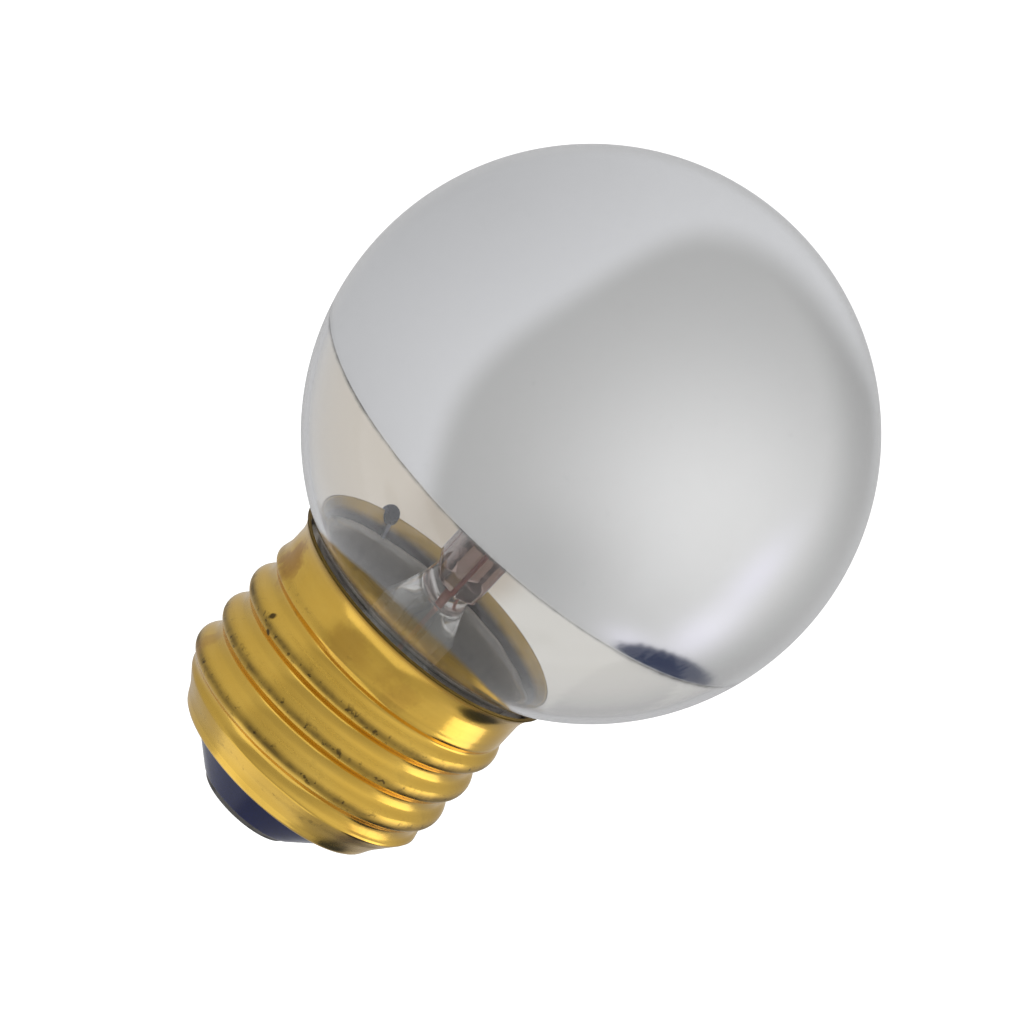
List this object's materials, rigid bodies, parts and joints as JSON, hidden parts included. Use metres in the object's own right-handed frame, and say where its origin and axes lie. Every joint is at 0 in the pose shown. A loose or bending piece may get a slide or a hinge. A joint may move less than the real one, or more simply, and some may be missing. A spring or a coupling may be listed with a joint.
{
  "type": "globe bulb",
  "caption": "Clear glass globe bulb with a mirrored crown, its stem and filament inside, on a threaded brass screw cap with a black glass insulator and a soldered centre contact.",
  "frame": {"origin": "tip of the centre contact, on the lamp's axis", "axes": "+Z along the lamp's axis from the contact to the crown; +X to the right and -Y towards the viewer of the reference picture, seen with the crown up"},
  "size_m": [0.05, 0.05, 0.0723],
  "materials": {
    "bulb_glass": "clear blown glass",
    "mirror_film": "bright metal film",
    "stem_glass": "clear drawn glass",
    "copper_wire": "drawn copper",
    "seal_wire": "copper-clad, oxidised red",
    "nickel_wire": "drawn nickel",
    "support_wire": "drawn molybdenum",
    "tungsten": "coiled tungsten wire",
    "cap_brass": "rolled brass, worn and lightly tarnished",
    "cement": "baked basing cement",
    "black_glass": "opaque black moulded glass",
    "contact_metal": "stamped, tinned",
    "solder": "soft solder, as cooled"
  },
  "bodies": {
    "root": {"glass_envelope": "bulb_glass", "mirror_coating": "mirror_film", "stem": "stem_glass", "exhaust_tube": "stem_glass", "side_lead_outer": "copper_wire", "side_lead_seal": "seal_wire", "side_lead_inner": "nickel_wire", "centre_lead_outer": "copper_wire", "centre_lead_seal": "seal_wire", "centre_lead_inner": "nickel_wire", "arbor": "stem_glass", "support_wire_1": "support_wire", "support_wire_2": "support_wire", "support_wire_3": "support_wire", "filament": "tungsten", "screw_shell": "cap_brass", "basing_cement": "cement", "base_insulator": "black_glass", "contact_eyelet": "contact_metal", "contact_solder": "solder", "side_solder": "solder"}
  },
  "joints": []
}
